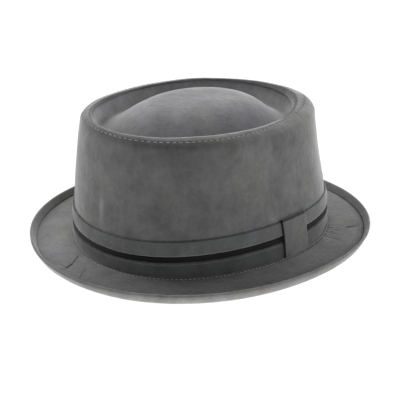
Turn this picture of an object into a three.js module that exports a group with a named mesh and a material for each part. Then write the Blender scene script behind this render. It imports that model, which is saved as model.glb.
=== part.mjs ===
import * as THREE from "three";

// A cloth porkpie hat standing on its brim. Its front faces -Y and its wearer's left is +X.
// Every length is in millimetres.

// Ovals of the head and of the brim's turned-up edge
const HEAD_LENGTH = 195.4; // front to back over the crown cloth, at the crown's foot
const HEAD_WIDTH = 163.2; // side to side at the same place
const EDGE_LENGTH = 258.2; // front to back between the inner lips of the turned-up edge
const EDGE_WIDTH = 225.8;
const OVAL_FULLNESS = 2.1; // 2 is a true ellipse, and more is squarer

// Cloth, each with its interlining
const CROWN_CLOTH = 1.8;
const TIP_CLOTH = 1.8;
const BRIM_CLOTH = 2;
const FOLD_CLOTH = 1.2; // a folded strip of the band
const STRIPE_CLOTH = 1;
const KEEPER_CLOTH = 1.2;
const GAP = 0.3; // between pieces that lie on each other

// Crown
const FOOT_HEIGHT = 4; // the crown's lower edge above the floor
const SEAM_HEIGHT = 98.2; // the top seam above the floor
const SHOULDER_HEIGHT = 6.3; // of the rounding between wall and top seam
const SHOULDER_ENDS = 7.4; // how far the rounding reaches in at front and back
const SHOULDER_SIDES = 11.5; // and at the sides
const SHOULDER_TURN = 70; // degrees from the wall's slope to the slope at the seam
const WALL_TAPER = 9.5; // how far the wall comes in below the shoulder, all round
const WALL_LEAN = 4.6; // how far the wall's top is set forward of its foot
const SEAM_LEAN = 3.6; // how much further forward the top seam is
const SEAM_DIP = 2.1; // how much lower the seam is at the back than at mid-length
const CROWN_SPRING = 2.3; // how much higher the sides ride than a level ring
const ROLL = 0.9; // overhang of the side panel's folded edge at the top seam

// Crown tip
const GUTTER_REACH = 7; // from the top seam in to the bottom of the gutter
const GUTTER_DEPTH = 13.3; // of the gutter below the top seam
const DOME_RISE = 18.8; // of the dome above the gutter
const DOME_SETBACK = 7.5; // of the dome's peak behind the seam's centre
const DOME_FULLNESS = 2.3; // a higher value gives a broader top and steeper sides

// Brim
const CREASE_HEIGHT = 2.6; // the fold line between the flat brim and its turned-up edge
const EDGE_HEIGHT = 8.2; // the lip of the turned-up edge
const EDGE_REACH_ENDS = 4; // how far the turned-up edge leans out at front and back
const EDGE_REACH_SIDES = 1.8;
const BRIM_SPRING = 1; // how much higher the sides of the brim ride
const EDGE_DIP = 1; // how much lower the lip is at the back than at mid-length

// Band
const BAND_RISE = 0.5; // the band's lower edge above the crown's foot
const FOLD_HEIGHT = 11.2; // of each folded strip
const STRIPE_HEIGHT = 4.2; // of the dark stripe that shows between them
const FOLD_ROUNDING = 0.5; // on the outer edges of a folded strip

// Keeper, the loop of cloth over the band at the wearer's left
const KEEPER_WIDTH = 26;
const KEEPER_PLACE = 10.5; // its middle behind the widest point of the oval
const KEEPER_SLANT = 4; // how far its lower end is set behind its upper one

// Colours of the brushed cloth, a little darker where it is folded, and of the ribbon
const CLOTH_GREY = 0x636466;
const TIP_GREY = 0x6e6f72;
const FOLD_GREY = 0x5a5d5d;
const RIBBON_BLACK = 0x141414;

// Points on each ring, steps up the shoulder, and stations across the keeper
const AROUND = 64;
const SHOULDER_STEPS = 4;
const STATIONS = 6;

// The crown wall from its foot up. up is a share of the wall's height, in of WALL_TAPER,
// lean of WALL_LEAN, spring of CROWN_SPRING and dip of SEAM_DIP.
const WALL_ROWS = [
  { up: 0, in: 0, lean: 0, spring: 0.5, dip: 0.24 },
  { up: 0.16, in: 0.01, lean: 0, spring: 1, dip: 0 },
  { up: 0.31, in: 0.12, lean: 0.25, spring: 0.87, dip: -0.14 },
  { up: 0.5, in: 0.38, lean: 0.7, spring: 0.75, dip: 0.05 },
  { up: 0.7, in: 0.62, lean: 0.92, spring: 0.58, dip: 0.4 },
  { up: 0.87, in: 0.81, lean: 0.98, spring: 0.42, dip: 0.75 },
  { up: 1, in: 1, lean: 1, spring: 0.3, dip: 1 },
];

// The side panel's folded edge, from the crest down its inner side, as shares of ROLL
const ROLL_ROWS = [
  { in: 0.67, down: 0.33 },
  { in: 0.95, down: 1.2 },
];

// The tip's wall inside the seam. in is a share of GUTTER_REACH and down of GUTTER_DEPTH.
const GUTTER_ROWS = [
  { in: 0.19, down: 0.23 },
  { in: 0.42, down: 0.5 },
  { in: 0.7, down: 0.86 },
  { in: 1, down: 1 },
];

// The dome, as shares of the way from its peak out to the gutter
const DOME_SHARES = [0.9, 0.78, 0.64, 0.48, 0.28];

// The flat brim from the crease in to the head opening. in is a share of that width, and
// up of the rise from the crease to the crown's foot.
const BRIM_ROWS = [
  { in: 0, up: 0 },
  { in: 0.16, up: 0.06 },
  { in: 0.55, up: 0.42 },
  { in: 0.88, up: 0.94 },
  { in: 1, up: 1 },
];

// A ring is an oval round the hat. It is tilted by dip, lower at the back, and its sides
// ride higher by spring.
function ring(halfLength, halfWidth, centre, height, dip, spring) {
  return { halfLength, halfWidth, centre, height, dip, spring };
}

function widened(base, out, rise = 0) {
  const copy = { ...base };
  copy.halfLength += out;
  copy.halfWidth += out;
  copy.height += rise;
  return copy;
}

function between(low, high, share) {
  const mix = {};
  for (const key of Object.keys(low)) mix[key] = THREE.MathUtils.lerp(low[key], high[key], share);
  return mix;
}

function bulged(value) {
  return Math.sign(value) * Math.abs(value) ** (2 / OVAL_FULLNESS);
}

function pointOn(oval, angle) {
  const cos = Math.cos(angle);
  const sin = Math.sin(angle);
  return new THREE.Vector3(
    oval.halfWidth * bulged(cos),
    oval.centre + oval.halfLength * bulged(sin),
    oval.height - oval.dip * sin + oval.spring * (cos * cos - sin * sin),
  );
}

function pointsOn(oval) {
  const points = [];
  for (let i = 0; i < AROUND; i++) points.push(pointOn(oval, (2 * Math.PI * i) / AROUND));
  return points;
}

// The same surface moved back by depth along its own normals. Rows run so that its face
// side is to the left of the way round, looking along the rows.
function setBack(rows, depth) {
  return rows.map((row, k) => {
    const before = rows[Math.max(k - 1, 0)];
    const after = rows[Math.min(k + 1, rows.length - 1)];
    return row.map((point, i) => {
      const next = row[(i + 1) % row.length];
      const last = row[(i + row.length - 1) % row.length];
      const along = next.clone().sub(last);
      const across = after[i].clone().sub(before[i]);
      return point.clone().addScaledVector(along.cross(across).normalize(), -depth);
    });
  });
}

// Triangles between two closed rows of points
function wallBetween(low, high) {
  const faces = [];
  low.forEach((point, i) => {
    const j = (i + 1) % low.length;
    faces.push([point, low[j], high[j]], [point, high[j], high[i]]);
  });
  return faces;
}

// A closed body of rows that come round to the first one again
function hoop(rows) {
  return rows.flatMap((row, k) => wallBetween(row, rows[(k + 1) % rows.length]));
}

// A closed body of rows that run over a pole on the face side and back over one below it
function dish(faceRows, facePole, backRows, backPole) {
  const faces = [];
  for (let k = 1; k < faceRows.length; k++) faces.push(...wallBetween(faceRows[k - 1], faceRows[k]));
  for (let k = 1; k < backRows.length; k++) faces.push(...wallBetween(backRows[k], backRows[k - 1]));
  faces.push(...wallBetween(backRows[0], faceRows[0]));
  const lastFace = faceRows.at(-1);
  const lastBack = backRows.at(-1);
  lastFace.forEach((point, i) => {
    const j = (i + 1) % lastFace.length;
    faces.push([point, lastFace[j], facePole]);
    faces.push([lastBack[j], lastBack[i], backPole]);
  });
  return faces;
}

// A closed body swept through sections that are strips, each closed at both ends
function strip(sections) {
  const faces = [];
  for (let k = 1; k < sections.length; k++) faces.push(...wallBetween(sections[k - 1], sections[k]));
  const first = sections[0];
  const last = sections.at(-1);
  const count = first.length;
  for (let i = 0; i < count / 2 - 1; i++) {
    const j = count - 1 - i;
    faces.push([first[i], first[j], first[j - 1]], [first[i], first[j - 1], first[i + 1]]);
    faces.push([last[i], last[j - 1], last[j]], [last[i], last[i + 1], last[j - 1]]);
  }
  return faces;
}

const wallTop = SEAM_HEIGHT - SHOULDER_HEIGHT;
const wallRings = WALL_ROWS.map((row) =>
  ring(
    HEAD_LENGTH / 2 - row.in * WALL_TAPER,
    HEAD_WIDTH / 2 - row.in * WALL_TAPER,
    -row.lean * WALL_LEAN,
    THREE.MathUtils.lerp(FOOT_HEIGHT, wallTop, row.up),
    row.dip * SEAM_DIP,
    row.spring * CROWN_SPRING,
  ),
);
const footRing = wallRings[0];
const shoulderRing = wallRings.at(-1);
const seamRing = ring(
  shoulderRing.halfLength - SHOULDER_ENDS,
  shoulderRing.halfWidth - SHOULDER_SIDES,
  shoulderRing.centre - SEAM_LEAN,
  SEAM_HEIGHT,
  shoulderRing.dip,
  shoulderRing.spring,
);

// The crown wall's ring at a height, on the straight run between two rows
function wallAt(height) {
  const lows = wallRings.slice(0, -1);
  const k = Math.max(lows.findLastIndex((row) => row.height <= height), 0);
  const low = wallRings[k];
  const high = wallRings[k + 1];
  return between(low, high, (height - low.height) / (high.height - low.height));
}

// An arc from the wall's top over to the seam
function shoulderRings() {
  const fullTurn = THREE.MathUtils.degToRad(SHOULDER_TURN);
  const rings = [];
  for (let i = 1; i <= SHOULDER_STEPS; i++) {
    const turn = (i / SHOULDER_STEPS) * fullTurn;
    const round = between(shoulderRing, seamRing, (1 - Math.cos(turn)) / (1 - Math.cos(fullTurn)));
    round.height = THREE.MathUtils.lerp(wallTop, SEAM_HEIGHT, Math.sin(turn) / Math.sin(fullTurn));
    rings.push(round);
  }
  return rings;
}

const crownFace = [...wallRings, ...shoulderRings()].map(pointsOn);
const rollRows = ROLL_ROWS.map((row) => pointsOn(widened(seamRing, -row.in * ROLL, -row.down * ROLL)));

// The face of the side panel set back into it, without the folded edge
function crownSetBack(depth) {
  return setBack([...crownFace, rollRows[0]], depth).slice(0, crownFace.length);
}

function crownSide() {
  const back = crownSetBack(CROWN_CLOTH);
  return hoop([...crownFace, ...rollRows, ...back.reverse()]);
}

// The tip's edge laps under the folded edge of the side panel, then drops into the gutter
// and rises to the dome.
function crownTip() {
  const lap = crownSetBack(CROWN_CLOTH + GAP).slice(-2);
  const gutter = GUTTER_ROWS.map((row) =>
    pointsOn(widened(seamRing, -row.in * GUTTER_REACH, -row.down * GUTTER_DEPTH)),
  );
  const gutterRing = widened(seamRing, -GUTTER_REACH, -GUTTER_DEPTH);
  const peakRing = ring(
    0,
    0,
    seamRing.centre + DOME_SETBACK,
    gutterRing.height + DOME_RISE,
    0,
    0,
  );
  const dome = DOME_SHARES.map((share) => {
    const level = between(peakRing, gutterRing, share);
    const swell = 0.5 + 0.5 * Math.cos(Math.PI * share ** DOME_FULLNESS);
    level.height = gutterRing.height + DOME_RISE * swell;
    return pointsOn(level);
  });
  const face = [...lap, ...gutter, ...dome];
  const peak = new THREE.Vector3(0, peakRing.centre, peakRing.height);
  const back = setBack([...face, face.at(-1).map(() => peak)], TIP_CLOTH).slice(0, face.length);
  const backPeak = peak.clone().setZ(peak.z - TIP_CLOTH);
  return dish(face, peak, back, backPeak);
}

// The brim's face runs from the lip of the turned-up edge down to the crease, then in to
// the head opening. Its underside lies flat on the floor where it would reach below it.
function brim() {
  const lip = ring(EDGE_LENGTH / 2, EDGE_WIDTH / 2, 0, EDGE_HEIGHT, EDGE_DIP, BRIM_SPRING);
  const crease = ring(
    lip.halfLength - EDGE_REACH_ENDS,
    lip.halfWidth - EDGE_REACH_SIDES,
    0,
    CREASE_HEIGHT,
    0,
    BRIM_SPRING,
  );
  const opening = widened(footRing, -CROWN_CLOTH, -GAP);
  const flat = BRIM_ROWS.map((row) => {
    const level = between(crease, opening, row.in);
    level.height = THREE.MathUtils.lerp(crease.height, opening.height, row.up);
    return pointsOn(level);
  });
  const face = [pointsOn(lip), pointsOn(between(lip, crease, 0.5)), ...flat];
  const back = setBack(face, BRIM_CLOTH);
  back.flat().forEach((point) => point.setZ(Math.max(point.z, 0)));
  return hoop([...face, ...back.reverse()]);
}

// A strip of the band round the crown wall, from low up by height
function bandStrip(low, height, cloth, rounding) {
  const inner = GAP;
  const outer = GAP + cloth;
  const section = [
    { height: low, out: outer - rounding },
    { height: low + rounding, out: outer },
    { height: low + height - rounding, out: outer },
    { height: low + height, out: outer - rounding },
    { height: low + height, out: inner },
    { height: low, out: inner },
  ];
  return hoop(section.map((corner) => pointsOn(widened(wallAt(corner.height), corner.out))));
}

const lowerLow = FOOT_HEIGHT + BAND_RISE;
const stripeLow = lowerLow + FOLD_HEIGHT + GAP;
const upperLow = stripeLow + STRIPE_HEIGHT + GAP;
const bandTop = upperLow + FOLD_HEIGHT;

// The point of a ring that lies at a distance along Y, on the wearer's left
function leftPoint(oval, y) {
  const share = (y - oval.centre) / oval.halfLength;
  return pointOn(oval, Math.asin(Math.sign(share) * Math.abs(share) ** (OVAL_FULLNESS / 2)));
}

// The keeper stands over the band, and its upper end turns in over the band's top edge.
function keeper() {
  const under = GAP + FOLD_CLOTH + GAP;
  const over = under + KEEPER_CLOTH;
  const foot = FOOT_HEIGHT;
  const lipLow = bandTop + GAP;
  const lipTop = lipLow + KEEPER_CLOTH;
  const middle = (foot + lipTop) / 2;
  const section = [
    { height: lipTop, out: GAP },
    { height: lipTop, out: over - KEEPER_CLOTH / 2 },
    { height: lipTop - KEEPER_CLOTH / 2, out: over },
    { height: middle, out: over },
    { height: foot, out: over },
    { height: foot, out: under },
    { height: middle, out: under },
    { height: lipLow, out: under },
    { height: lipLow, out: under - GAP },
    { height: lipLow, out: GAP },
  ];
  const stations = [];
  for (let i = 0; i <= STATIONS; i++) {
    const across = KEEPER_PLACE + KEEPER_WIDTH * (i / STATIONS - 0.5);
    stations.push(
      section.map((corner) => {
        const slant = (KEEPER_SLANT * (lipTop - corner.height)) / (lipTop - foot);
        return leftPoint(widened(wallAt(corner.height), corner.out), across + slant);
      }),
    );
  }
  return strip(stations);
}

function piece(name, faces, color) {
  const geometry = new THREE.BufferGeometry().setFromPoints(faces.flat());
  geometry.computeVertexNormals();
  const material = new THREE.MeshStandardMaterial({ color, roughness: 0.95, metalness: 0 });
  const mesh = new THREE.Mesh(geometry, material);
  mesh.name = name;
  return mesh;
}

const hat = new THREE.Group();
hat.add(piece("crown_side", crownSide(), CLOTH_GREY));
hat.add(piece("crown_tip", crownTip(), TIP_GREY));
hat.add(piece("brim", brim(), CLOTH_GREY));

const lowerFold = bandStrip(lowerLow, FOLD_HEIGHT, FOLD_CLOTH, FOLD_ROUNDING);
const stripe = bandStrip(stripeLow, STRIPE_HEIGHT, STRIPE_CLOTH, 0);
const upperFold = bandStrip(upperLow, FOLD_HEIGHT, FOLD_CLOTH, FOLD_ROUNDING);
hat.add(piece("band_lower", lowerFold, FOLD_GREY));
hat.add(piece("band_stripe", stripe, RIBBON_BLACK));
hat.add(piece("band_upper", upperFold, FOLD_GREY));
hat.add(piece("keeper", keeper(), FOLD_GREY));

export default hat;
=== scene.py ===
"""The looks of a cloth porkpie hat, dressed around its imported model.

Metres, +Z up. The front of the hat faces -Y and its wearer's left is +X.
"""
import math
from collections import namedtuple

import bmesh
import bpy
from mathutils import Matrix, Vector, noise


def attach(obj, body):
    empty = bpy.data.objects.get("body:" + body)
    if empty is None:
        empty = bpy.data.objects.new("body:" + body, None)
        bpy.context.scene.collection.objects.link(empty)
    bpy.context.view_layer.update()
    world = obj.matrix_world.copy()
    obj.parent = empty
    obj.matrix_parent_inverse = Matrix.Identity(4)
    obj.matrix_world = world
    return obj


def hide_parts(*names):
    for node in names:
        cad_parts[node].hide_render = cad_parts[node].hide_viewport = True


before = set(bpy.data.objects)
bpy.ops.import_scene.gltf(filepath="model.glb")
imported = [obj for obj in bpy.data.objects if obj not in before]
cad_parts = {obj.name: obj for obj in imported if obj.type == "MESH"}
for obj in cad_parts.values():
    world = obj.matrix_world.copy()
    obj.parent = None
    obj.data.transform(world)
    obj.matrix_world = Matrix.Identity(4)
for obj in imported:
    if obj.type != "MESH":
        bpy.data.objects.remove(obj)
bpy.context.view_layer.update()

MM = 0.001

# Ovals of the head and of the brim's turned-up edge
HEAD_LENGTH = 195.4 * MM
HEAD_WIDTH = 163.2 * MM
EDGE_LENGTH = 258.2 * MM
EDGE_WIDTH = 225.8 * MM
OVAL_FULLNESS = 2.1

# Cloth
CROWN_CLOTH = 1.8 * MM
TIP_CLOTH = 1.8 * MM
BRIM_CLOTH = 2.0 * MM
FOLD_CLOTH = 1.2 * MM
STRIPE_CLOTH = 1.0 * MM
KEEPER_CLOTH = 1.2 * MM
GAP = 0.3 * MM

# Crown
FOOT_HEIGHT = 4.0 * MM
SEAM_HEIGHT = 98.2 * MM
SHOULDER_HEIGHT = 6.3 * MM
SHOULDER_ENDS = 7.4 * MM
SHOULDER_SIDES = 11.5 * MM
SHOULDER_TURN = math.radians(70)
WALL_TAPER = 9.5 * MM
WALL_LEAN = 4.6 * MM
SEAM_LEAN = 3.6 * MM
SEAM_DIP = 2.1 * MM
CROWN_SPRING = 2.3 * MM
ROLL = 0.9 * MM

# Crown tip
GUTTER_REACH = 7.0 * MM
GUTTER_DEPTH = 13.3 * MM
DOME_RISE = 18.8 * MM
DOME_SETBACK = 7.5 * MM
DOME_FULLNESS = 2.3

# Brim
CREASE_HEIGHT = 2.6 * MM
EDGE_HEIGHT = 8.2 * MM
EDGE_REACH_ENDS = 4.0 * MM
EDGE_REACH_SIDES = 1.8 * MM
BRIM_SPRING = 1.0 * MM
EDGE_DIP = 1.0 * MM
CREASE_HOLD = 0.6 * MM  # how near the crease its sharp turn stays

# Band
BAND_RISE = 0.5 * MM
FOLD_HEIGHT = 11.2 * MM
STRIPE_HEIGHT = 4.2 * MM
FOLD_ROUNDING = 0.5 * MM
FOLD_SWELL = 0.25 * MM  # how far the middle of a folded strip stands out

# Keeper
KEEPER_WIDTH = 26.0 * MM
KEEPER_PLACE = 10.5 * MM
KEEPER_SLANT = 4.0 * MM
KEEPER_FOOT = FOOT_HEIGHT + 0.4 * MM

# Topstitching on the shoulder, which climbs towards the seam at the wearer's left
STITCH_PITCH = 4.2 * MM
STITCH_LENGTH = 3.1 * MM
STITCH_THICKNESS = 0.55 * MM
STITCH_TURN = math.radians(41)  # how far up the shoulder's arc the row runs
STITCH_GROOVE = 0.22 * MM
STITCH_GROOVE_WIDTH = 1.2 * MM
STITCH_PROUD = 0.15  # how far its thread stands out, as a share of its thickness
STITCH_CLIMB = math.radians(21)  # how much farther up the arc it climbs
STITCH_CLIMB_TURN = 25  # where it is highest, in degrees round the hat
STITCH_CLIMB_SPREAD = 42  # and over how many degrees it climbs on either side
CLIMB_LENGTH = 5.2 * MM  # how far up the crown's section the climb takes it

# Stitching on the brim's flat at the crown's foot. Places are shares of the way in from the
# crease to the opening.
FOOT_STITCH_PITCH = 3.0 * MM
FOOT_STITCH_LENGTH = 1.9 * MM
FOOT_STITCH_THICKNESS = 0.65 * MM
FOOT_STITCH_PLACE = 0.862
# Both lines are painted shade: one outside the stitches and one in the crevice inside them
FOOT_LINE_PLACE = 0.835  # a dark line outside the stitches
FOOT_TUCK_PLACE = 0.895  # a dark line inside them, where the crown meets the brim

# Heights of the strips' lower edges, one above another
LOWER_FOLD_LOW = FOOT_HEIGHT + BAND_RISE
STRIPE_LOW = LOWER_FOLD_LOW + FOLD_HEIGHT + GAP
UPPER_FOLD_LOW = STRIPE_LOW + STRIPE_HEIGHT + GAP
BAND_TOP = UPPER_FOLD_LOW + FOLD_HEIGHT
KEEPER_HEIGHT = BAND_TOP + GAP + KEEPER_CLOTH - KEEPER_FOOT

# Mesh steps
AROUND = 288
WALL_STEPS = 24
SHOULDER_STEPS = 10
GUTTER_STEPS = 9
DOME_STEPS = 22
EDGE_STEPS = 4
FLAT_STEPS = 18
KEEPER_STEPS = 14
KEEPER_RUN_STEPS = 9
STITCH_SIDES = 8
STITCH_RINGS = 6
WELD = 0.01 * MM  # points nearer than this are joined

# How far from its held edges the cloth takes to stray freely
FREE_ABOVE_BAND = 9 * MM
FREE_INSIDE_SEAM = 14 * MM
FREE_INSIDE_CREASE = 6 * MM
SAG_REACH = 22 * MM  # how far into the tip the rim's sags reach
BRIM_PUFF = 0.35 * MM  # how far the brim's flat stands up inside the crease

# The crown wall from its foot up, as shares of its height, of WALL_TAPER, of WALL_LEAN, of
# CROWN_SPRING and of SEAM_DIP
WallRow = namedtuple("WallRow", "up inward lean spring dip")
WALL_ROWS = [
    WallRow(0.00, 0.00, 0.00, 0.50, 0.24),
    WallRow(0.16, 0.01, 0.00, 1.00, 0.00),
    WallRow(0.31, 0.12, 0.25, 0.87, -0.14),
    WallRow(0.50, 0.38, 0.70, 0.75, 0.05),
    WallRow(0.70, 0.62, 0.92, 0.58, 0.40),
    WallRow(0.87, 0.81, 0.98, 0.42, 0.75),
    WallRow(1.00, 1.00, 1.00, 0.30, 1.00),
]

# The side panel's folded edge, from the crest down its inner side, as shares of ROLL
RollRow = namedtuple("RollRow", "inward down")
ROLL_ROWS = [
    RollRow(0.67, 0.10),
    RollRow(1.05, 0.75),
    RollRow(1.15, 1.60),
]

# The tip's edge, which laps under that fold, in millimetres out from the seam and below it
LapRow = namedtuple("LapRow", "out down")
LAP_ROWS = [
    LapRow(1.8, 2.9),
    LapRow(0.4, 2.3),
]

# The tip's wall inside the seam, as shares of its run, of GUTTER_REACH and of GUTTER_DEPTH
GutterRow = namedtuple("GutterRow", "run inward down")
GUTTER_ROWS = [
    GutterRow(0.00, 0.10, 0.15),
    GutterRow(0.20, 0.24, 0.30),
    GutterRow(0.45, 0.45, 0.56),
    GutterRow(0.75, 0.72, 0.88),
    GutterRow(1.00, 1.00, 1.00),
]

# The flat brim from the crease in, as shares of its width and of the rise to the crown
BrimRow = namedtuple("BrimRow", "inward up")
BRIM_ROWS = [
    BrimRow(0.00, 0.00),
    BrimRow(0.16, 0.06),
    BrimRow(0.55, 0.42),
    BrimRow(0.88, 0.94),
    BrimRow(1.00, 1.00),
]

# A folded strip of the band, from its lower edge up its face and down its back. up is a share
# of its height, trim of FOLD_ROUNDING, cloth of its thickness and swell of its bulge.
StripRow = namedtuple("StripRow", "up trim cloth swell")
STRIP_ROWS = [
    StripRow(0.0, 0, 0.25, 0.0),
    StripRow(0.0, 0, 0.70, 0.0),
    StripRow(0.0, 1, 1.00, 0.0),
    StripRow(0.3, 0, 1.00, 0.8),
    StripRow(0.5, 0, 1.00, 1.0),
    StripRow(0.7, 0, 1.00, 0.8),
    StripRow(1.0, -1, 1.00, 0.0),
    StripRow(1.0, 0, 0.70, 0.0),
    StripRow(1.0, 0, 0.25, 0.0),
    StripRow(1.0, -1, 0.00, 0.0),
    StripRow(0.5, 0, 0.00, 0.0),
    StripRow(0.0, 1, 0.00, 0.0),
    StripRow(0.0, 0, 0.25, 0.0),
]

# The keeper's turned-in ends, in millimetres from its top or its foot and in from its face
EndRow = namedtuple("EndRow", "off inward")
KEEPER_TOP_ROWS = [
    EndRow(0.40, 2.50),
    EndRow(0.00, 0.90),
    EndRow(0.25, 0.30),
]
KEEPER_FOOT_ROWS = [
    EndRow(0.00, 0.35),
    EndRow(0.20, 1.00),
]
KEEPER_RUN_TOP = 0.9 * MM  # how far below its top its straight run starts
KEEPER_RUN_FOOT = 0.6 * MM  # and how far above its foot it ends

# Gentle unevenness of the cloth, with how far it stands out, how wide its swells are, both in
# millimetres, and its seed
Waver = namedtuple("Waver", "out size seed")
CROWN_WAVERS = [Waver(0.45, 34, 3), Waver(0.14, 12, 5)]
TIP_WAVERS = [Waver(0.5, 30, 8), Waver(0.12, 11, 9)]
BRIM_FLAT_WAVERS = [Waver(0.45, 26, 12)]
BRIM_WAVERS = [Waver(0.10, 9, 14)]

# Where the worn hat strays from its plain ovals, each by the turn round it and the height of
# its middle, its spread both ways, and how far the cloth stands out there, in degrees and mm
Swell = namedtuple("Swell", "turn spread height tall out")
ALL_HEIGHTS = 1000
CROWN_SWELLS = [
    Swell(47, 34, 42, 20, 1.1),
    Swell(47, 40, 70, 34, 0.8),
    Swell(66, 32, 94.9, 3.9, 2.6),
    Swell(227, 34, 58, 28, 0.25),
    Swell(232, 24, 95, 8, 0.3),
]
BRIM_SWELLS = [
    Swell(50, 34, 0, ALL_HEIGHTS, 0.4),
    Swell(242, 20, 0, ALL_HEIGHTS, -1.1),
    Swell(270, 24, 0, ALL_HEIGHTS, 0.9),
    Swell(325, 60, 0, ALL_HEIGHTS, 1.7),
]
LIP_LIFT = Swell(84, 28, 0, ALL_HEIGHTS, 0.9)  # out is how far the lip stands up here
RIM_SAGS = [  # out is how far the rim stands up here
    Swell(192, 48, 98, 20, -1.9),
    Swell(10, 34, 98, 20, -1.6),
]

# Creases in the brim's cloth, each from one place to another on its flat, in millimetres
Wrinkle = namedtuple("Wrinkle", "x0 y0 x1 y1 width depth")
WRINKLES = [
    Wrinkle(-16.5, -102.1, -10.6, -112.6, 1.0, 0.40),
    Wrinkle(-10.6, -112.6, -8.0, -118.4, 1.5, 0.60),
    Wrinkle(-8.0, -118.4, -15.0, -117.8, 0.9, 0.40),
    Wrinkle(-8.0, -118.4, -10.0, -121.6, 0.9, 0.35),
    Wrinkle(-7.0, -120.4, -7.6, -124.2, 0.9, 0.35),
    Wrinkle(2.5, -110.5, 10.5, -121.5, 0.9, 0.30),
    Wrinkle(72.8, 79.5, 74.9, 86.2, 1.3, 0.60),
    Wrinkle(66.0, 66.5, 73.5, 69.5, 1.0, 0.25),
    Wrinkle(70.0, 60.5, 78.0, 63.0, 1.0, 0.25),
    Wrinkle(75.0, 53.5, 84.0, 56.0, 1.0, 0.25),
]

# Painted light and shade on the cloth: lighter and darker places on the piece's map, with the
# middle and the spread both ways, in millimetres, and how strong it is there
Mark = namedtuple("Mark", "around along wide tall strength")
CROWN_PAINTED_LIGHTS = [
    Mark(427, 42, 2.2, 11, 0.6),
    Mark(70, 62, 14, 42, 0.6),
    Mark(388, 52, 20, 42, 0.4),
    Mark(440, 66, 22, 26, 0.16),
    Mark(545, 70, 26, 26, 0.14),
]
CROWN_PAINTED_SHADES = [
    Mark(25, 82, 4, 3.5, 0.25),
    Mark(26, 49, 3.5, 3, 0.2),
    Mark(470, 46, 7, 6, 0.12),
    Mark(487, 84, 22, 5, 0.12),
]
TIP_PAINTED_LIGHTS = [
    Mark(55, 10, 50, 10, 0.6),
    Mark(292, 36, 50, 11, 0.5),
]
TIP_PAINTED_SHADES = [Mark(284, 15, 12, 5, 0.6)]
KEEPER_PAINTED_SHADES = [Mark(-9, -11, 3.5, 2.5, 0.3)]

# The cloth's own mottling: its size in millimetres, detail, seed and share of the tone
Mottle = namedtuple("Mottle", "size detail seed share")
CLOUDS = Mottle(15, 3, 1.0, 0.36)
BLOTS = Mottle(5, 3, 4.0, 0.22)
NAP = Mottle(1.7, 2, 7.0, 0.17)
COOL_TINT = (0.99, 0.99, 1.03)
WARM_TINT = (1.0, 1.01, 0.985)

# Finish: diffuse colours as linear values
CLOTH_GREY = (0.151, 0.152, 0.150)
# the tip is the crown's cloth, painted lighter for the light that falls on its top
TIP_LIT_GREY = (0.163, 0.162, 0.167)
# the brim's outer face, painted much lighter for the light it takes from the floor
UNDER_LIT_GREY = (0.31, 0.304, 0.295)
UPPER_FOLD_GREY = (0.130, 0.132, 0.130)
# the lower fold, painted darker than the upper for the shade near the brim
LOWER_FOLD_SHADED_GREY = (0.080, 0.082, 0.080)
KEEPER_GREY = (0.142, 0.142, 0.138)
RIBBON_BLACK = (0.0022, 0.0020, 0.0021)
SHOULDER_THREAD_GREY = (0.24, 0.24, 0.235)
# the same thread as the shoulder's, painted lighter so it shows in the shade at the crown's foot
FOOT_THREAD_LIT_GREY = (0.30, 0.30, 0.295)
FLOOR_GREY = (0.05, 0.05, 0.05)  # dark, because its glow makes it white by itself

# Camera, found by matching the hat's ovals to the picture
PICTURE_PIXELS = 400
SENSOR = 36.0
FOCAL_PIXELS = 1238.17
CAMERA_AZIMUTH = math.radians(47.39)
CAMERA_ELEVATION = math.radians(22.87)
CAMERA_ROLL = math.radians(0.90)
CAMERA_DISTANCE = 897.13 * MM
AIM_HEIGHT = 60 * MM
AIM_RIGHT = -1.58 * MM
AIM_UP = -33.92 * MM

# Soft lights round the hat, with their turn from the camera and their elevation in degrees
Softbox = namedtuple("Softbox", "name turn elevation distance width height power")
LIGHTS = [
    Softbox("left_box", -110, 38, 1.3, 0.8, 0.8, 14.5),
    Softbox("low_left_box", -108, 12, 1.3, 0.8, 0.8, 7),
    Softbox("right_box", 110, 38, 1.3, 0.8, 0.8, 10),
    Softbox("top_box", 180, 65, 1.3, 0.8, 0.8, 18),
    Softbox("front_box", 30, 12, 1.3, 1.2, 0.8, 8),
]
WORLD_STRENGTH = 0.03
FLOOR_GLOW = 1.0


Oval = namedtuple("Oval", "half_length half_width centre height dip spring")


def bulged(value):
    return math.copysign(abs(value) ** (2 / OVAL_FULLNESS), value)


def oval_point(oval, angle):
    across, along = math.cos(angle), math.sin(angle)
    return Vector((
        oval.half_width * bulged(across),
        oval.centre + oval.half_length * bulged(along),
        oval.height - oval.dip * along + oval.spring * (across**2 - along**2),
    ))


def grown(oval, out, rise=0.0):
    return oval._replace(
        half_length=oval.half_length + out,
        half_width=oval.half_width + out,
        height=oval.height + rise,
    )


def lerp(low, high, share):
    return low + (high - low) * share


def near(distance, width):
    """1 where the distance is 0, and falling away over a width on either side."""
    return math.exp(-((distance / width) ** 2))


def turn_from(angle, degrees):
    """How far round the hat an angle is from a turn in degrees, the shorter way."""
    return (math.degrees(angle) - degrees + 180) % 360 - 180


def between(low, high, share):
    return Oval(*(lerp(a, b, share) for a, b in zip(low, high)))


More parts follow.
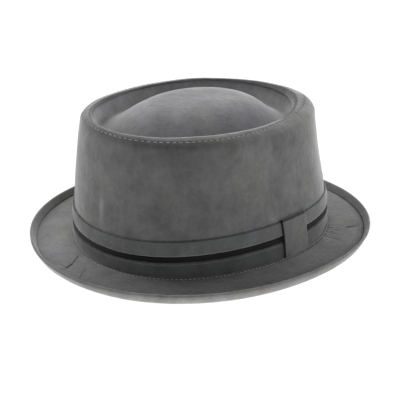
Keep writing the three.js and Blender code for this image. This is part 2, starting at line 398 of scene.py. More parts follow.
def smooth(rows, at):
    """A table's row at a share of its first column, on a smooth curve through the others."""
    last = len(rows) - 1
    low = max(k for k in range(last) if k == 0 or rows[k][0] <= at)
    high = low + 1
    span = rows[high][0] - rows[low][0]
    part = (at - rows[low][0]) / span

    def slope(k, column):
        before, after = rows[max(k - 1, 0)], rows[min(k + 1, last)]
        return (after[column] - before[column]) / (after[0] - before[0]) * span

    values = [at]
    for column in range(1, len(rows[0])):
        start, end = rows[low][column], rows[high][column]
        rise = slope(low, column)
        fall = slope(high, column)
        turn = 3 * (end - start) - 2 * rise - fall
        bend = 2 * (start - end) + rise + fall
        values.append(start + part * (rise + part * (turn + part * bend)))
    return type(rows[0])(*values)


# Sections, each a list of ovals

WALL_TOP = SEAM_HEIGHT - SHOULDER_HEIGHT


def wall_oval(height):
    row = smooth(WALL_ROWS, (height - FOOT_HEIGHT) / (WALL_TOP - FOOT_HEIGHT))
    return Oval(
        HEAD_LENGTH / 2 - row.inward * WALL_TAPER,
        HEAD_WIDTH / 2 - row.inward * WALL_TAPER,
        -row.lean * WALL_LEAN,
        height,
        row.dip * SEAM_DIP,
        row.spring * CROWN_SPRING,
    )


def seam_oval():
    top = wall_oval(WALL_TOP)
    return top._replace(
        half_length=top.half_length - SHOULDER_ENDS,
        half_width=top.half_width - SHOULDER_SIDES,
        centre=top.centre - SEAM_LEAN,
        height=SEAM_HEIGHT,
    )


def shoulder_oval(turn):
    """The oval on the rounding between the wall and the top seam, by how far it has turned."""
    share = (1 - math.cos(turn)) / (1 - math.cos(SHOULDER_TURN))
    oval = between(wall_oval(WALL_TOP), seam_oval(), share)
    rise = math.sin(turn) / math.sin(SHOULDER_TURN)
    return oval._replace(height=lerp(WALL_TOP, SEAM_HEIGHT, rise))


def crown_section():
    section = [wall_oval(lerp(FOOT_HEIGHT, WALL_TOP, k / WALL_STEPS)) for k in range(WALL_STEPS)]
    for k in range(SHOULDER_STEPS + 1):
        section.append(shoulder_oval(SHOULDER_TURN * k / SHOULDER_STEPS))
    for row in ROLL_ROWS:
        section.append(grown(seam_oval(), -row.inward * ROLL, -row.down * ROLL))
    return section


def tip_section():
    seam = seam_oval()
    section = [grown(seam, row.out * MM, -row.down * MM) for row in LAP_ROWS]
    for k in range(GUTTER_STEPS + 1):
        row = smooth(GUTTER_ROWS, k / GUTTER_STEPS)
        section.append(grown(seam, -row.inward * GUTTER_REACH, -row.down * GUTTER_DEPTH))
    gutter = section[-1]
    peak = Oval(0, 0, seam.centre + DOME_SETBACK, gutter.height + DOME_RISE, 0, 0)
    for k in range(1, DOME_STEPS + 1):
        share = 1 - k / DOME_STEPS
        swell = 0.5 + 0.5 * math.cos(math.pi * share**DOME_FULLNESS)
        oval = between(peak, gutter, share)
        section.append(oval._replace(height=gutter.height + DOME_RISE * swell))
    return section


def lip_oval():
    return Oval(EDGE_LENGTH / 2, EDGE_WIDTH / 2, 0, EDGE_HEIGHT, EDGE_DIP, BRIM_SPRING)


def crease_oval():
    lip = lip_oval()
    return Oval(
        lip.half_length - EDGE_REACH_ENDS,
        lip.half_width - EDGE_REACH_SIDES,
        0,
        CREASE_HEIGHT,
        0,
        BRIM_SPRING,
    )


def brim_section():
    lip, crease = lip_oval(), crease_oval()
    opening = grown(wall_oval(FOOT_HEIGHT), -CROWN_CLOTH, -GAP)
    hold = CREASE_HOLD / (EDGE_HEIGHT - CREASE_HEIGHT)
    section = [between(lip, crease, k / EDGE_STEPS) for k in range(EDGE_STEPS)]
    section.append(between(lip, crease, 1 - hold))
    width = crease.half_length - opening.half_length
    stops = [0, CREASE_HOLD / width] + [k / FLAT_STEPS for k in range(1, FLAT_STEPS + 1)]
    for stop in stops:
        row = smooth(BRIM_ROWS, stop)
        oval = between(crease, opening, row.inward)
        section.append(oval._replace(height=lerp(crease.height, opening.height, row.up)))
    return section


def strip_section(low, height, cloth, swell):
    """A closed section of a folded strip that lies on the crown wall."""
    section = []
    for row in STRIP_ROWS:
        at = lerp(low, low + height, row.up) + row.trim * FOLD_ROUNDING
        section.append(grown(wall_oval(at), GAP + row.cloth * cloth + row.swell * swell))
    return section


def section_lengths(section):
    """How far along the section each oval is, at the hat's left side."""
    lengths = [0.0]
    for low, high in zip(section, section[1:]):
        step = oval_point(high, 0) - oval_point(low, 0)
        lengths.append(lengths[-1] + step.length)
    return lengths


def length_at(section, row):
    """How far along a section a row is that may lie between two of its ovals."""
    lengths = section_lengths(section)
    low = int(row)
    return lerp(lengths[low], lengths[low + 1], row - low)


def even_angles(oval, count):
    """Angles that part an oval into equal stretches, the first and last in one place."""
    steps = 1440
    points = [oval_point(oval, math.tau * k / steps) for k in range(steps + 1)]
    lengths = [0.0]
    for here, there in zip(points, points[1:]):
        lengths.append(lengths[-1] + (there - here).length)
    angles = []
    k = 0
    for number in range(count):
        goal = lengths[-1] * number / count
        while lengths[k + 1] < goal:
            k += 1
        share = (goal - lengths[k]) / (lengths[k + 1] - lengths[k])
        angles.append(math.tau * (k + share) / steps)
    return angles + [math.tau]


def rough_girth(oval):
    """An oval's girth to within about a hundredth, which is near enough for its map."""
    return math.pi * (oval.half_length + oval.half_width)


def stitch_climb(angle):
    """The share of its full climb that the topstitching has at an angle."""
    return near(turn_from(angle, STITCH_CLIMB_TURN), STITCH_CLIMB_SPREAD)


def stitched_oval(angle, above=0.0):
    """The oval that the topstitching lies on at an angle, or one a turn above it."""
    return shoulder_oval(STITCH_TURN + STITCH_CLIMB * stitch_climb(angle) + above)


# Places and counts that follow from the sections
STITCHED_OVAL = shoulder_oval(STITCH_TURN)
COLUMNS = even_angles(STITCHED_OVAL, AROUND)
STITCHES = round(rough_girth(STITCHED_OVAL) / STITCH_PITCH)
STITCH_ROW = WALL_STEPS + SHOULDER_STEPS * STITCH_TURN / SHOULDER_TURN
STITCH_LINE = length_at(crown_section(), STITCH_ROW)
RIDGE_LINE = length_at(crown_section(), WALL_STEPS + SHOULDER_STEPS)
CROWN_GIRTH = rough_girth(wall_oval(FOOT_HEIGHT))
BRIM_CREASE = length_at(brim_section(), EDGE_STEPS + 1)
BRIM_LENGTH = section_lengths(brim_section())[-1]
BRIM_GIRTH = rough_girth(lip_oval())


def stitch_length(angle):
    """How far up the crown's section the topstitching is at an angle."""
    return STITCH_LINE + CLIMB_LENGTH * stitch_climb(angle)


# Meshes


def uneven(point, wavers):
    """How far the cloth's unevenness makes it stand out at a point."""
    stands = 0.0
    for waver in wavers:
        offset = Vector((waver.seed, 2 * waver.seed, 3 * waver.seed))
        stands += waver.out * MM * noise.noise(point / (waver.size * MM) + offset)
    return stands


def wrapped(name, section, relief=None):
    """A sheet wrapped round the hat through a section's ovals, with its own map in metres.

    relief gives a shift of the cloth, by its point, outward direction, angle and length up the
    section.
    """
    rows = len(section) - 1
    lengths = section_lengths(section)
    girth = rough_girth(section[0])
    mesh = bmesh.new()
    bmesh.ops.create_grid(mesh, x_segments=AROUND, y_segments=rows, size=0.5)
    chart = mesh.loops.layers.uv.new("chart")
    spots = {}
    for vert in mesh.verts:
        column = round((vert.co.x + 0.5) * AROUND)
        row = round((vert.co.y + 0.5) * rows)
        spots[vert] = (column, row)
    for face in mesh.faces:
        for loop in face.loops:
            column, row = spots[loop.vert]
            loop[chart].uv = (girth * column / AROUND, lengths[row])
    for vert, (column, row) in spots.items():
        vert.co = oval_point(section[row], COLUMNS[column])
    bmesh.ops.remove_doubles(mesh, verts=mesh.verts, dist=WELD)
    mesh.normal_update()
    if relief:
        for vert in mesh.verts:
            column, row = spots[vert]
            vert.co += relief(vert.co, vert.normal, COLUMNS[column], lengths[row])
    return made_object(name, mesh)


def made_object(name, mesh):
    data = bpy.data.meshes.new(name)
    mesh.to_mesh(data)
    mesh.free()
    piece = bpy.data.objects.new(name, data)
    bpy.context.scene.collection.objects.link(piece)
    for polygon in data.polygons:
        polygon.use_smooth = True
    return piece


def thicken(piece, cloth):
    wall = piece.modifiers.new("cloth", "SOLIDIFY")
    wall.thickness = cloth
    wall.offset = -1
    wall.use_even_offset = True


def soften(piece, levels=1):
    finer = piece.modifiers.new("soft", "SUBSURF")
    finer.levels = levels
    finer.render_levels = levels


def swollen(swells, angle, height):
    """How far a list of swells moves the cloth at an angle and a height."""
    moved = 0.0
    for swell in swells:
        beside = near(turn_from(angle, swell.turn), swell.spread)
        moved += swell.out * MM * beside * near(height / MM - swell.height, swell.tall)
    return moved


def crown_relief(point, outward, angle, length):
    """The band holds the wall smooth, and its swells grow over a stretch above it."""
    stands = uneven(point, CROWN_WAVERS) + swollen(CROWN_SWELLS, angle, point.z)
    free = min(1, max(0, (point.z - BAND_TOP) / FREE_ABOVE_BAND))
    groove = STITCH_GROOVE * near(length - stitch_length(angle), STITCH_GROOVE_WIDTH)
    rim = Vector((0, 0, swollen(RIM_SAGS, angle, point.z)))
    return outward * (stands * free - groove) + rim


def crown_side():
    piece = wrapped("crown_side", crown_section(), crown_relief)
    thicken(piece, CROWN_CLOTH)
    soften(piece)
    return piece


def tip_relief(point, outward, angle, length):
    """Next to the seam the tip is smooth and follows the rim's sags."""
    loose = min(1, length / FREE_INSIDE_SEAM)
    held = max(0, 1 - length / SAG_REACH)
    rim = Vector((0, 0, held * swollen(RIM_SAGS, angle, SEAM_HEIGHT)))
    return outward * loose * uneven(point, TIP_WAVERS) + rim


def crown_tip():
    piece = wrapped("crown_tip", tip_section(), tip_relief)
    thicken(piece, TIP_CLOTH)
    return piece


def wrinkle_depth(point):
    """How deep the brim's cloth is creased at a point."""
    depth = 0.0
    for wrinkle in WRINKLES:
        start = Vector((wrinkle.x0, wrinkle.y0)) * MM
        end = Vector((wrinkle.x1, wrinkle.y1)) * MM
        run = end - start
        share = (point.xy - start).dot(run) / run.length_squared
        foot = start + run * min(1, max(0, share))
        depth += wrinkle.depth * MM * near((point.xy - foot).length, 2 * wrinkle.width * MM)
    return depth


def brim_relief(point, outward, angle, length):
    """The flat puffs up inside the crease, and the lip strays outward and up."""
    inside = min(1, max(0, (length - BRIM_CREASE) / FREE_INSIDE_CREASE))
    stands = inside * (BRIM_PUFF + uneven(point, BRIM_FLAT_WAVERS)) + uneven(point, BRIM_WAVERS)
    if length > BRIM_CREASE:
        stands -= wrinkle_depth(point)
    wider = (1 - length / BRIM_LENGTH) * swollen(BRIM_SWELLS, angle, point.z)
    away = Vector((point.x, point.y, 0)).normalized()
    lifted = max(0, 1 - length / BRIM_CREASE) * swollen([LIP_LIFT], angle, point.z)
    return outward * stands + away * wider + Vector((0, 0, lifted))


def brim():
    piece = wrapped("brim", brim_section(), brim_relief)
    for vert in piece.data.vertices:
        vert.co.z = max(vert.co.z, BRIM_CLOTH)
    thicken(piece, BRIM_CLOTH)
    soften(piece)
    return piece


def band_strip(name, low, height, cloth, swell):
    piece = wrapped(name, strip_section(low, height, cloth, swell))
    soften(piece)
    return piece


def left_point(oval, y):
    """The point of an oval that lies at a distance along Y, on the wearer's left."""
    share = (y - oval.centre) / oval.half_length
    return oval_point(oval, math.asin(math.copysign(abs(share) ** (OVAL_FULLNESS / 2), share)))


def keeper():
    """A strip over the band. Its upper end turns in over the band and its lower end under."""
    over = GAP + FOLD_CLOTH + GAP + KEEPER_CLOTH
    foot = KEEPER_FOOT
    top = foot + KEEPER_HEIGHT
    path = [(top - row.off * MM, over - row.inward * MM) for row in KEEPER_TOP_ROWS]
    for k in range(KEEPER_RUN_STEPS + 1):
        share = k / KEEPER_RUN_STEPS
        path.append((lerp(top - KEEPER_RUN_TOP, foot + KEEPER_RUN_FOOT, share), over))
    path += [(foot + row.off * MM, over - row.inward * MM) for row in KEEPER_FOOT_ROWS]
    mesh = bmesh.new()
    bmesh.ops.create_grid(mesh, x_segments=KEEPER_STEPS, y_segments=len(path) - 1, size=0.5)
    chart = mesh.loops.layers.uv.new("chart")
    for face in mesh.faces:
        for loop in face.loops:
            across, down = loop.vert.co.x, loop.vert.co.y
            loop[chart].uv = (across * KEEPER_WIDTH, down * (top - foot))
    for vert in mesh.verts:
        height, out = path[round((0.5 - vert.co.y) * (len(path) - 1))]
        slant = KEEPER_SLANT * (top - height) / (top - foot)
        across = KEEPER_PLACE + KEEPER_WIDTH * vert.co.x + slant
        vert.co = left_point(grown(wall_oval(min(height, WALL_TOP)), out), across)
    piece = made_object("keeper", mesh)
    thicken(piece, KEEPER_CLOTH)
    soften(piece, 2)
    return piece


def stitch_row(name, angles, long, thick, relief, row_at, above_at, reach_at):
    """A row of separate thread stitches on the cloth.

    row_at, above_at and reach_at give the oval that a stitch lies on, one a little above it and
    how far up the section it is, all by its angle.
    """
    mesh = bmesh.new()
    counts = {"u_segments": STITCH_SIDES, "v_segments": STITCH_RINGS}
    for angle in angles:
        centre = oval_point(row_at(angle), angle)
        along = (oval_point(row_at(angle + 0.01), angle + 0.01) - centre).normalized()
        out = along.cross(oval_point(above_at(angle), angle) - centre).normalized()
        turn = Matrix((along, out.cross(along), out)).transposed().to_4x4()
        centre += relief(centre, out, angle, reach_at(angle)) + out * STITCH_PROUD * thick
        size = Matrix.Diagonal((long / 2, thick / 2, thick / 2, 1))
        place = Matrix.Translation(centre) @ turn @ size
        bmesh.ops.create_uvsphere(mesh, radius=1, matrix=place, **counts)
    return made_object(name, mesh)


def shoulder_stitches():
    def above(angle):
        return stitched_oval(angle, 0.05)

    angles = even_angles(STITCHED_OVAL, STITCHES)[:-1]
    sizes = (STITCH_LENGTH, STITCH_THICKNESS)
    ways = (crown_relief, stitched_oval, above, stitch_length)
    return stitch_row("shoulder_stitches", angles, *sizes, *ways)


def flat_oval(place):
    """The oval on the brim's flat at a share of the way in from the crease to the opening."""
    section = brim_section()
    row = smooth(BRIM_ROWS, place)
    oval = between(section[EDGE_STEPS + 1], section[-1], row.inward)
    return oval._replace(height=lerp(CREASE_HEIGHT, section[-1].height, row.up))


def flat_length(place):
    """How far in from the lip the brim's section reaches at that share."""
    return lerp(BRIM_CREASE, BRIM_LENGTH, place)


def steady(value):
    """A value that is the same at every angle."""
    def at(angle):
        return value

    return at


def foot_stitches():
    row = flat_oval(FOOT_STITCH_PLACE)
    above = flat_oval(FOOT_STITCH_PLACE + 0.03)
    reach = flat_length(FOOT_STITCH_PLACE)
    angles = even_angles(row, round(rough_girth(row) / FOOT_STITCH_PITCH))[:-1]
    sizes = (FOOT_STITCH_LENGTH, FOOT_STITCH_THICKNESS)
    ways = (brim_relief, steady(row), steady(above), steady(reach))
    return stitch_row("foot_stitches", angles, *sizes, *ways)


# Shader terms


class Term:
    """A value in a material. Python's operators on it add that material's Math nodes."""

    def __init__(self, finish, socket):
        self.finish = finish
        self.socket = socket

    def math(self, operation, *values):
        inputs = dict(enumerate(values))
        return self.finish.node("ShaderNodeMath", {"operation": operation}, inputs)

    def __add__(self, other):
        return self.math("ADD", self, other)

    def __sub__(self, other):
        return self.math("SUBTRACT", self, other)

    def __rsub__(self, other):
        return self.math("SUBTRACT", other, self)

    def __mul__(self, other):
        return self.math("MULTIPLY", self, other)

    __radd__ = __add__
    __rmul__ = __mul__

    def absolute(self):
        return self.math("ABSOLUTE", self)

    def fraction(self):
        return self.math("FRACT", self)

    def least(self, other):
        return self.math("MINIMUM", self, other)

    def most(self, other):
        return self.math("MAXIMUM", self, other)

    def bell(self, width):
        """1 where the value is 0, and falling away over a width on either side."""
        return self.math("EXPONENT", self * self * (-1 / width**2))

    def step(self, low, high):
        """0 below low, 1 above high and a soft rise between."""
        settings = {"interpolation_type": "SMOOTHSTEP"}
        inputs = {"Value": self, "From Min": low, "From Max": high}
        return self.finish.node("ShaderNodeMapRange", settings, inputs)


class Finish:
    """A material with a Principled shader, whose nodes are added through one method."""

    def __init__(self, name, roughness, sheen=0.0, sheen_roughness=0.5, specular=0.2):
        self.material = bpy.data.materials.new(name)
        self.material.use_nodes = True
        self.tree = self.material.node_tree
        self.shader = self.tree.nodes["Principled BSDF"]
        self.shader.inputs["Roughness"].default_value = roughness
        self.shader.inputs["Specular IOR Level"].default_value = specular
        self.shader.inputs["Sheen Weight"].default_value = sheen
        self.shader.inputs["Sheen Roughness"].default_value = sheen_roughness
        self.points = self.node("ShaderNodeTexCoord", {}, {}, "Object")

    def node(self, kind, settings, inputs, output=0):
        added = self.tree.nodes.new(kind)
        for key, value in settings.items():
            setattr(added, key, value)
        for key, value in inputs.items():
            self.feed(added.inputs[key], value)
        return Term(self, added.outputs[output])

    def feed(self, socket, value):
        if isinstance(value, Term):
            self.tree.links.new(value.socket, socket)
        else:
            socket.default_value = value

    def chart(self):
        """The piece's own map, as its run round the hat and its run along the section."""
        spot = self.node("ShaderNodeUVMap", {"uv_map": "chart"}, {})
        around = self.node("ShaderNodeSeparateXYZ", {}, {0: spot}, "X")
        along = self.node("ShaderNodeSeparateXYZ", {}, {0: spot}, "Y")
        return around, along

    def mottle(self, size, detail=2.0, stretch=(1, 1, 1), seed=0.0):
        """Cloudy noise between about -1 and 1, with clouds about as wide as size."""
        offset = (seed, 2 * seed, 3 * seed)
        settings = {"vector_type": "POINT"}
        inputs = {"Vector": self.points, "Scale": stretch, "Location": offset}
        place = self.node("ShaderNodeMapping", settings, inputs)
        inputs = {"Vector": place, "Scale": 1 / size, "Detail": detail, "Roughness": 0.55}
        return (self.node("ShaderNodeTexNoise", {"noise_dimensions": "3D"}, inputs) - 0.5) * 2

    def scaled(self, colour, factor):
        """A colour made lighter or darker by a factor."""
        inputs = {0: colour, "Scale": factor}
        return self.node("ShaderNodeVectorMath", {"operation": "SCALE"}, inputs)

    def mixed(self, first, second, share):
        """A colour between two others. Sockets 0, 4 and 5 are its factor and its vectors."""
        settings = {"data_type": "VECTOR"}
        return self.node("ShaderNodeMix", settings, {0: share, 4: first, 5: second}, 1)

    def colour(self, value):
        self.feed(self.shader.inputs["Base Color"], value)

    def bump(self, height, distance, strength=1.0):
        inputs = {"Height": height, "Distance": distance, "Strength": strength}
        self.feed(self.shader.inputs["Normal"], self.node("ShaderNodeBump", {}, inputs))


def brushed_cloth(name, tone, shade=None, dents=None, streaked=0.0):
    """Suede-look cloth. shade and dents take the finish and give a factor of painted light and
    shade on its colour, and a height.
    """
    finish = Finish(name, roughness=1.0, sheen=0.55, sheen_roughness=0.38, specular=0.08)
    finish.shader.inputs["Sheen Tint"].default_value = (0.95, 0.95, 0.95, 1)
    finish.shader.inputs["Diffuse Roughness"].default_value = 1.0
    clouds = finish.mottle(CLOUDS.size * MM, CLOUDS.detail, seed=CLOUDS.seed)
    blots = finish.mottle(BLOTS.size * MM, BLOTS.detail, seed=BLOTS.seed)
    nap = finish.mottle(NAP.size * MM, NAP.detail, seed=NAP.seed)
    factor = 1 + clouds * CLOUDS.share + blots * BLOTS.share + nap * NAP.share
    if streaked:
        streaks = finish.mottle(5 * MM, detail=2, stretch=(1, 1, 0.14), seed=11.0)
        factor = factor + streaks * streaked
    if shade:
        factor = factor * shade(finish)
    cool = tuple(value * tint for value, tint in zip(tone, COOL_TINT))
    warm = tuple(value * tint for value, tint in zip(tone, WARM_TINT))
    drift = finish.mottle(38 * MM, detail=1, seed=15.0).step(-0.35, 0.35)
    finish.colour(finish.scaled(finish.mixed(cool, warm, drift), factor))
    height = nap * 0.8 + blots * 1.2
    if dents:
        height = height + dents(finish)
    finish.bump(height, 0.35 * MM, 0.45)
    return finish.material


def turned(around, girth, degrees):
    """How far round the hat a place on a piece's map is from a turn, in degrees."""
    return ((around * (1 / girth) + (1.5 - degrees / 360)).fraction() - 0.5) * 360


def marked(around, along, marks):
    """How strong a list of marks is, all together, at each place on a piece's map."""
    whole = 0.0
    for mark in marks:
        beside = (around - mark.around * MM).bell(mark.wide * MM)
        whole = whole + beside * (along - mark.along * MM).bell(mark.tall * MM) * mark.strength
    return whole


def past_stitches(around, along):
    """How far above the topstitching a place on the crown's map is."""
    climb = turned(around, CROWN_GIRTH, STITCH_CLIMB_TURN).bell(STITCH_CLIMB_SPREAD)
    return along - STITCH_LINE - climb * CLIMB_LENGTH


def stitch_holes(finish):
    """1 where the topstitching's thread goes through the cloth and 0 away from it."""
    around, along = finish.chart()
    beat = ((around * (STITCHES / CROWN_GIRTH)).fraction() - 0.5).bell(0.12)
    return beat * past_stitches(around, along).bell(0.6 * MM)


def crown_finish():
    band_top = BAND_TOP - FOOT_HEIGHT

    def shade(finish):
        around, along = finish.chart()
        past = past_stitches(around, along)
        front = 1 - turned(around, CROWN_GIRTH, 322).absolute().step(54, 68)
        ridge = along - RIDGE_LINE
        # painted highlight along the ridge's fold, only at the front
        edge_highlight = ridge.bell(0.8 * MM) * front * 1.1
        # painted shade in the seam at the sides and back
        seam = (ridge - 0.1 * MM).bell(0.7 * MM) * (1 - front) * 0.8
        # painted shade in the groove under the topstitching
        under = past.bell(1.3 * MM) * 0.3
        # painted shade in the crevice just above the band
        crevice_shade = (along - band_top - 0.2 * MM).bell(0.45 * MM) * 0.9
        middle = turned(around, CROWN_GIRTH, 316).bell(42)
        # painted shade on the shoulder under the stitching, deepest at the front, with the
        # seam's painted shade
        shaded = (past + 2.5 * MM).bell(4.5 * MM) * (middle * 0.38 + 0.13) + seam
        # painted light and shade in lighter and darker places
        painted_light_and_shade = marked(around, along, CROWN_PAINTED_LIGHTS) - marked(around, along, CROWN_PAINTED_SHADES)
        factor = (1 + edge_highlight - under) * (1 - crevice_shade) * (1 - shaded)
        # painted shade in the stitch holes
        return factor * (1 + painted_light_and_shade) * (1 - stitch_holes(finish) * 0.8)

    def dents(finish):
        past = past_stitches(*finish.chart())
        return past.bell(0.8 * MM) * -1.2 - stitch_holes(finish) * 1.5

    return brushed_cloth("crown_cloth", CLOTH_GREY, shade, dents, streaked=0.08)


def tip_finish():
    def shade(finish):
        around, along = finish.chart()
        # painted light on the gutter's wall
        wall = (along - 9 * MM).bell(9 * MM) * 0.45
        # painted light and shade in lighter and darker places
        return 1 + wall + marked(around, along, TIP_PAINTED_LIGHTS) - marked(around, along, TIP_PAINTED_SHADES)

    return brushed_cloth("tip_cloth", TIP_LIT_GREY, shade)


def wrinkle_mask(finish):
    """1 along the brim's creases and 0 away from them."""
    x = finish.node("ShaderNodeSeparateXYZ", {}, {0: finish.points}, "X")
    y = finish.node("ShaderNodeSeparateXYZ", {}, {0: finish.points}, "Y")
    wander = finish.mottle(5 * MM, detail=1, seed=21.0) * (0.9 * MM)
    mask = None
    for wrinkle in WRINKLES:
        run = Vector((wrinkle.x1 - wrinkle.x0, wrinkle.y1 - wrinkle.y0)) * MM
        length = run.length
        run = run / length
        dx = x - wrinkle.x0 * MM
        dy = y - wrinkle.y0 * MM
        along = dx * run.x + dy * run.y
        beside = dx * -run.y + dy * run.x + wander
        past = (along * -1).most(along - length).most(0)
        line = beside.bell(0.6 * wrinkle.width * MM) * past.bell(1.0 * MM)
        line = line * (wrinkle.depth / 0.5)
        mask = line if mask is None else mask.most(line)
    return mask


def pucker_mask(finish):
    """Short ripples that run out from the crown at the wearer's left, behind the keeper."""
    around, along = finish.chart()
    wander = finish.mottle(7 * MM, detail=2, seed=24.0) * (3.2 * MM)
    ripples = around.math("SINE", (around + wander) * (math.tau / (3.4 * MM)))
    place = (around - 79 * MM).bell(18 * MM) * (along - 28.5 * MM).bell(4.5 * MM)
    return (ripples * place * 1.8).least(1).most(-1)


def brim_finish():
    def shade(finish):
        around, along = finish.chart()
        # the crease's painted shade is weaker at the front
        faded = 1 - (around - 505 * MM).bell(50 * MM) * 0.75
        # painted shade in the crease
        crease_shade = (along - BRIM_CREASE).bell(0.65 * MM) * faded * 0.9
        # painted highlight along the lip
        edge_highlight = along.bell(1.5 * MM) * 0.25
        # painted shade on the flat at the front, where the crown shades it
        front = turned(around, BRIM_GIRTH, 314).bell(42) * 0.6
        # painted light on the flat at one side
        side_light = (around - 520 * MM).bell(75 * MM) * 0.55
        flat = along.step(BRIM_CREASE - 1 * MM, BRIM_CREASE + 1 * MM)
        keeper_side = (around - 30 * MM).bell(45 * MM)
        right_front = (around - 515 * MM).bell(65 * MM)
        # painted shade in a line outside the foot stitches
        seam = (along - flat_length(FOOT_LINE_PLACE)).bell(0.55 * MM)
        seam = seam * (keeper_side * 0.4 + 0.45 - right_front * 0.4)
        # painted shade in the crevice where the crown meets the brim
        crevice_shade = (along - flat_length(FOOT_TUCK_PLACE)).bell(0.7 * MM)
        crevice_shade = crevice_shade * (0.4 - keeper_side * 0.25 - right_front * 0.3)
        hem = (along - BRIM_CREASE - 6.5 * MM).bell(0.5 * MM) * (around - 82 * MM).bell(50 * MM)
        factor = (1 + edge_highlight - crease_shade) * (1 - seam) * (1 - crevice_shade) * (1 + hem * 0.22)
        factor = factor * (1 + flat * (side_light - front))
        # painted shade in the wrinkles, and painted light and shade on the puckers
        return factor * (1 - wrinkle_mask(finish) * 0.9) * (1 + pucker_mask(finish) * 0.42)

    def dents(finish):
        return pucker_mask(finish) * 1.3 - wrinkle_mask(finish) * 2.5

    return brushed_cloth("brim_cloth", CLOTH_GREY, shade, dents)


def lit_under_finish():
    """The brim's outer and lower face, with painted light that grows away from the lip and is
    strongest at the front.
    """
    def shade(finish):
        around, along = finish.chart()
        front = turned(around, BRIM_GIRTH, 310).bell(62)
        # painted light, growing from the lip towards the crease and strongest at the front
        return 0.42 + front * 0.28 + along.step(-1 * MM, 7 * MM) * (front * 0.55 + 0.22)

    return brushed_cloth("brim_under_lit_cloth", UNDER_LIT_GREY, shade)


def inside_finish():
    """The crown's inner face, which shows none of the marks of the outer one."""
    return brushed_cloth("crown_inside_cloth", CLOTH_GREY)


def fold_finish(name, tone, highlight_at, shade_at, shade_strength):
    """A folded strip's cloth with a painted highlight along one of its edges and painted shade
    along another.
    """
    def shade(finish):
        along = finish.chart()[1]
        # painted highlight along one edge
        light = (along - highlight_at).bell(0.35 * MM) * 0.6
        # painted shade along the other edge
        edge_shade = (along - shade_at).bell(0.45 * MM) * shade_strength
        return (1 + light) * (1 - edge_shade)

    return brushed_cloth(name, tone, shade)


def keeper_finish():
    half = KEEPER_WIDTH / 2

    def shade(finish):
        around, along = finish.chart()
        # painted shade along its left edge and its top, and a painted highlight on its right
        # edge
        left = (around * -1).step(half - 1.6 * MM, half - 0.9 * MM) * 0.85
        right = around.step(half - 0.9 * MM, half - 0.3 * MM) * 0.7
        top = along.step(KEEPER_HEIGHT / 2 - 7.0 * MM, KEEPER_HEIGHT / 2 - 5.9 * MM) * 0.75
        # painted shade at its lower left corner
        corner_shade = marked(around, along, KEEPER_PAINTED_SHADES)
        return (1 - left) * (1 + right) * (1 - top) * (1 - corner_shade)

    return brushed_cloth("keeper_cloth", KEEPER_GREY, shade)


def ribbon_finish():
    finish = Finish("stripe_ribbon", roughness=0.75, sheen=0.05, specular=0.25)
    around = finish.chart()[0]
    ribs = around.math("SINE", around * (math.tau / (0.9 * MM)))
    blots = finish.mottle(6 * MM, detail=2, seed=31.0)
    finish.colour(finish.scaled(RIBBON_BLACK, 1 + ribs * 0.25 + blots * 0.35))
    finish.bump(ribs * 0.5 + blots * 0.4, 0.12 * MM, 0.6)
    return finish.material


def thread_finish(name, tone):
    finish = Finish(name, roughness=0.8, sheen=0.3, specular=0.2)
    twist = finish.mottle(0.5 * MM, detail=1, seed=41.0)
    finish.colour(finish.scaled(tone, 1 + twist * 0.3))
    finish.bump(twist, 0.1 * MM, 0.5)
    return finish.material


# Stage, lights and camera


def lay_floor():
    mesh = bmesh.new()
    bmesh.ops.create_grid(mesh, x_segments=1, y_segments=1, size=4)
    floor = made_object("floor", mesh)
    material = bpy.data.materials.new("floor_white")
    material.use_nodes = True
    shader = material.node_tree.nodes["Principled BSDF"]
    shader.inputs["Base Color"].default_value = FLOOR_GREY + (1,)
    shader.inputs["Roughness"].default_value = 1.0
    shader.inputs["Specular IOR Level"].default_value = 0.0
    shader.inputs["Emission Color"].default_value = (1, 1, 1, 1)
    shader.inputs["Emission Strength"].default_value = FLOOR_GLOW
    floor.data.materials.append(material)


def direction(azimuth, elevation):
    """From the hat out towards an azimuth and elevation. Azimuth 0 is in front of it."""
    flat = math.cos(elevation)
    return Vector((math.sin(azimuth) * flat, -math.cos(azimuth) * flat, math.sin(elevation)))


def hang_lights():
    middle = Vector((0, 0, 50 * MM))
    for box in LIGHTS:
        light = bpy.data.lights.new(box.name, "AREA")
        light.shape = "RECTANGLE"
        light.size = box.width
        light.size_y = box.height
        light.energy = box.power
        lamp = bpy.data.objects.new(box.name, light)
        bpy.context.scene.collection.objects.link(lamp)
        out = direction(CAMERA_AZIMUTH + math.radians(box.turn), math.radians(box.elevation))
        lamp.location = middle + out * box.distance
        lamp.rotation_euler = out.to_track_quat("Z", "Y").to_euler()
    world = bpy.data.worlds.new("studio")
    world.use_nodes = True
    sky = world.node_tree.nodes["Background"]
    sky.inputs["Color"].default_value = (1, 1, 1, 1)
    sky.inputs["Strength"].default_value = WORLD_STRENGTH
    bpy.context.scene.world = world


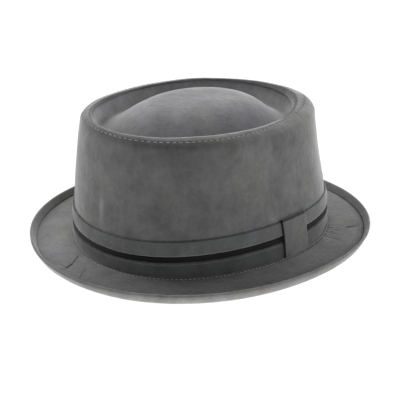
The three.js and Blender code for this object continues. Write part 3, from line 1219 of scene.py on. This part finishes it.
def aim_camera():
    back = direction(CAMERA_AZIMUTH, CAMERA_ELEVATION)
    right = Vector((math.cos(CAMERA_AZIMUTH), math.sin(CAMERA_AZIMUTH), 0))
    up = back.cross(right)
    target = Vector((0, 0, AIM_HEIGHT)) + right * AIM_RIGHT + up * AIM_UP
    turn = Matrix((right, up, back)).transposed() @ Matrix.Rotation(CAMERA_ROLL, 3, "Z")
    lens = bpy.data.cameras.new("camera")
    lens.sensor_width = SENSOR
    lens.lens = SENSOR * FOCAL_PIXELS / PICTURE_PIXELS
    lens.clip_start = 0.05
    lens.clip_end = 20
    camera = bpy.data.objects.new("camera", lens)
    bpy.context.scene.collection.objects.link(camera)
    camera.matrix_world = Matrix.Translation(target + back * CAMERA_DISTANCE) @ turn.to_4x4()
    bpy.context.scene.camera = camera
    bpy.context.scene.view_settings.view_transform = "Standard"


def dress(piece, material, node=None, backing=None):
    """Gives a piece its material, slot and node, and its cloth's other face its own material."""
    piece.data.materials.append(material)
    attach(piece, "root")
    if node:
        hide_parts(node)
    if backing:
        piece.data.materials.append(backing)
        piece.modifiers["cloth"].material_offset = 1


lay_floor()
hang_lights()
aim_camera()

dress(crown_side(), crown_finish(), "crown_side", inside_finish())
dress(crown_tip(), tip_finish(), "crown_tip")
shoulder_thread = thread_finish("shoulder_thread", SHOULDER_THREAD_GREY)
dress(shoulder_stitches(), shoulder_thread)

dress(brim(), brim_finish(), "brim", lit_under_finish())
dress(foot_stitches(), thread_finish("foot_thread", FOOT_THREAD_LIT_GREY))

lower = band_strip("band_lower", LOWER_FOLD_LOW, FOLD_HEIGHT, FOLD_CLOTH, FOLD_SWELL)
stripe = band_strip("band_stripe", STRIPE_LOW, STRIPE_HEIGHT, STRIPE_CLOTH, 0)
upper = band_strip("band_upper", UPPER_FOLD_LOW, FOLD_HEIGHT, FOLD_CLOTH, FOLD_SWELL)
# Each fold gets a painted highlight by the stripe and painted shade along its other edge
near_edge = 0.9 * MM
far_edge = FOLD_HEIGHT + 0.2 * MM
lower_cloth = fold_finish("lower_fold_cloth", LOWER_FOLD_SHADED_GREY, far_edge, near_edge, 0.3)
upper_cloth = fold_finish("upper_fold_cloth", UPPER_FOLD_GREY, near_edge, far_edge, 0.65)
dress(lower, lower_cloth, "band_lower")
dress(stripe, ribbon_finish(), "band_stripe")
dress(upper, upper_cloth, "band_upper")
dress(keeper(), keeper_finish(), "keeper")
